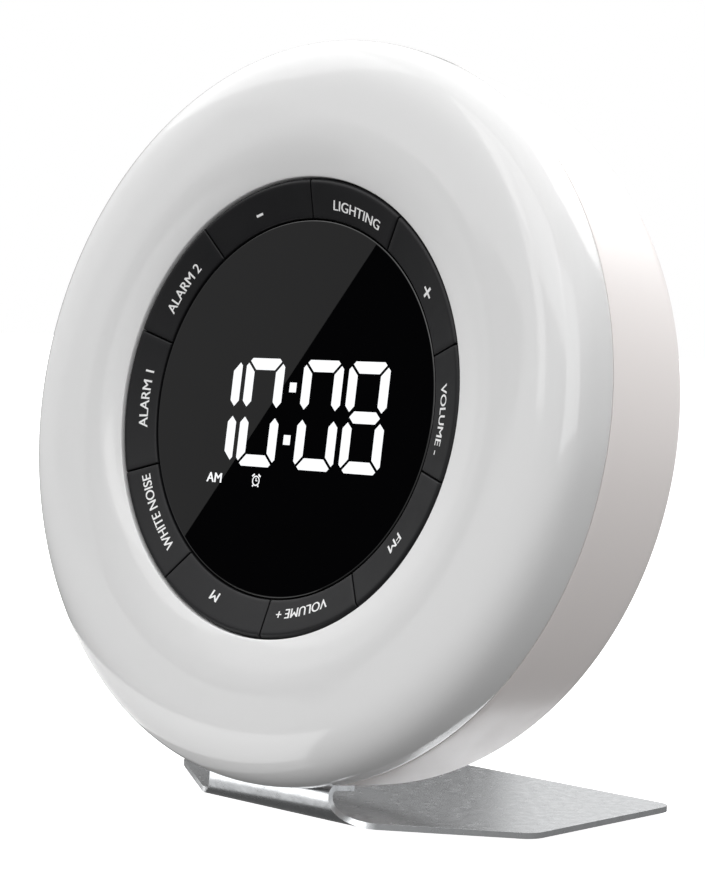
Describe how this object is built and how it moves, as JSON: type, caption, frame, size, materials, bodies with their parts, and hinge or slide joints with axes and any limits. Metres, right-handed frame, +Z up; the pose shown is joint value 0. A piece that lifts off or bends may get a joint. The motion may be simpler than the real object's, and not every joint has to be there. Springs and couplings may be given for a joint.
{
  "type": "clock radio",
  "caption": "Round bedside clock radio with a milky lamp ring, a dished ring of black keys round a glossy display, and a bent sheet-metal stand.",
  "frame": {"origin": "on the resting plane, under the centre of the bounding box", "axes": "+Z up; the face looks along -Y and leans back 7.8 degrees; +X is to the viewer's right"},
  "size_m": [0.176, 0.0941, 0.183],
  "materials": {
    "milky_plastic": "milky diffusing polycarbonate, glossy",
    "white_casing": "warm white ABS, semi-gloss",
    "white_plastic": "matt white reflector",
    "black_keys": "satin black ABS with pale legends",
    "black_lens": "polished smoked acrylic",
    "black_plastic": "matt black ABS",
    "grey_silicone": "moulded silicone",
    "green_board": "glass-fibre circuit board, green mask",
    "white_board": "circuit board, white mask, white LEDs",
    "plated_steel": "zinc-plated steel",
    "ferrite": "speaker magnet in steel pot",
    "black_paper": "pressed paper cone",
    "satin_aluminium": "brushed, satin anodised sheet",
    "black_rubber": "soft rubber"
  },
  "bodies": {
    "clock": {"front_shell": "milky_plastic", "rear_casing": "white_casing", "display_lens": "black_lens", "key_frame": "black_plastic", "key_mat": "grey_silicone", "display_module": "black_plastic", "display_board": "green_board", "lamp_board": "white_board", "light_reflector": "white_plastic", "main_board": "green_board", "power_inlet": "black_plastic", "speaker_frame": "plated_steel", "speaker_magnet": "ferrite", "speaker_cone": "black_paper", "battery_holder": "black_plastic", "coin_cell": "plated_steel", "cell_contact": "plated_steel", "stand": "satin_aluminium", "stand_screw_left": "plated_steel", "stand_screw_right": "plated_steel", "stand_nut_left": "plated_steel", "stand_nut_right": "plated_steel", "casing_screw_1": "plated_steel", "frame_screw_1": "plated_steel", "casing_screw_2": "plated_steel", "frame_screw_2": "plated_steel", "casing_screw_3": "plated_steel", "frame_screw_3": "plated_steel", "casing_screw_4": "plated_steel", "frame_screw_4": "plated_steel", "board_screw_1": "plated_steel", "board_screw_2": "plated_steel", "pad_front_left": "black_rubber", "pad_front_right": "black_rubber", "pad_rear_left": "black_rubber", "pad_rear_right": "black_rubber"},
    "key_lighting": {"key_lighting": "black_keys"},
    "key_plus": {"key_plus": "black_keys"},
    "key_volume_down": {"key_volume_down": "black_keys"},
    "key_fm": {"key_fm": "black_keys"},
    "key_volume_up": {"key_volume_up": "black_keys"},
    "key_mode": {"key_mode": "black_keys"},
    "key_white_noise": {"key_white_noise": "black_keys"},
    "key_alarm_1": {"key_alarm_1": "black_keys"},
    "key_alarm_2": {"key_alarm_2": "black_keys"},
    "key_minus": {"key_minus": "black_keys"},
    "battery_door": {"battery_door": "white_casing"}
  },
  "joints": [
    {"name": "key_lighting_press", "type": "slide", "parent": "clock", "child": "key_lighting", "axis": [0, 0.9907, -0.1357], "range_m": [0, 0.0008], "stiffness_N_per_m": 1500},
    {"name": "key_plus_press", "type": "slide", "parent": "clock", "child": "key_plus", "axis": [0, 0.9907, -0.1357], "range_m": [0, 0.0008], "stiffness_N_per_m": 1500},
    {"name": "key_volume_down_press", "type": "slide", "parent": "clock", "child": "key_volume_down", "axis": [0, 0.9907, -0.1357], "range_m": [0, 0.0008], "stiffness_N_per_m": 1500},
    {"name": "key_fm_press", "type": "slide", "parent": "clock", "child": "key_fm", "axis": [0, 0.9907, -0.1357], "range_m": [0, 0.0008], "stiffness_N_per_m": 1500},
    {"name": "key_volume_up_press", "type": "slide", "parent": "clock", "child": "key_volume_up", "axis": [0, 0.9907, -0.1357], "range_m": [0, 0.0008], "stiffness_N_per_m": 1500},
    {"name": "key_mode_press", "type": "slide", "parent": "clock", "child": "key_mode", "axis": [0, 0.9907, -0.1357], "range_m": [0, 0.0008], "stiffness_N_per_m": 1500},
    {"name": "key_white_noise_press", "type": "slide", "parent": "clock", "child": "key_white_noise", "axis": [0, 0.9907, -0.1357], "range_m": [0, 0.0008], "stiffness_N_per_m": 1500},
    {"name": "key_alarm_1_press", "type": "slide", "parent": "clock", "child": "key_alarm_1", "axis": [0, 0.9907, -0.1357], "range_m": [0, 0.0008], "stiffness_N_per_m": 1500},
    {"name": "key_alarm_2_press", "type": "slide", "parent": "clock", "child": "key_alarm_2", "axis": [0, 0.9907, -0.1357], "range_m": [0, 0.0008], "stiffness_N_per_m": 1500},
    {"name": "key_minus_press", "type": "slide", "parent": "clock", "child": "key_minus", "axis": [0, 0.9907, -0.1357], "range_m": [0, 0.0008], "stiffness_N_per_m": 1500},
    {"name": "battery_door_lift_off", "type": "slide", "parent": "clock", "child": "battery_door", "axis": [0, 0.9907, -0.1357], "range_m": [0, 0.03]}
  ]
}
